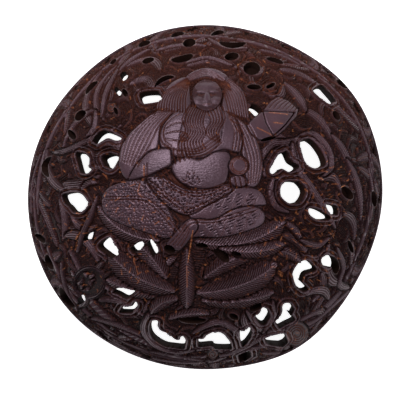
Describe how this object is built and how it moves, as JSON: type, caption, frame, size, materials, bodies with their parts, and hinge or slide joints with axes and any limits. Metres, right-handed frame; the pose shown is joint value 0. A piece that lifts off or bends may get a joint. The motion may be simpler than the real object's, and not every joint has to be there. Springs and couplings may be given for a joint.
{
  "type": "carved coconut shell",
  "caption": "Half coconut shell, open below, pierced and carved in relief with a seated bearded figure among leaves and scrolls; lies on its rim as an ornament.",
  "frame": {"origin": "middle of the rim, on the surface that the shell lies on", "axes": "+Z along the shell's axis to the crown, +Y to the top of the carving, +X to its right as seen from above"},
  "size_m": [0.1246, 0.121, 0.06],
  "materials": {
    "coconut_shell": "dark, hand polished, satin"
  },
  "bodies": {
    "root": {"coconut_shell": "coconut_shell"}
  },
  "joints": []
}
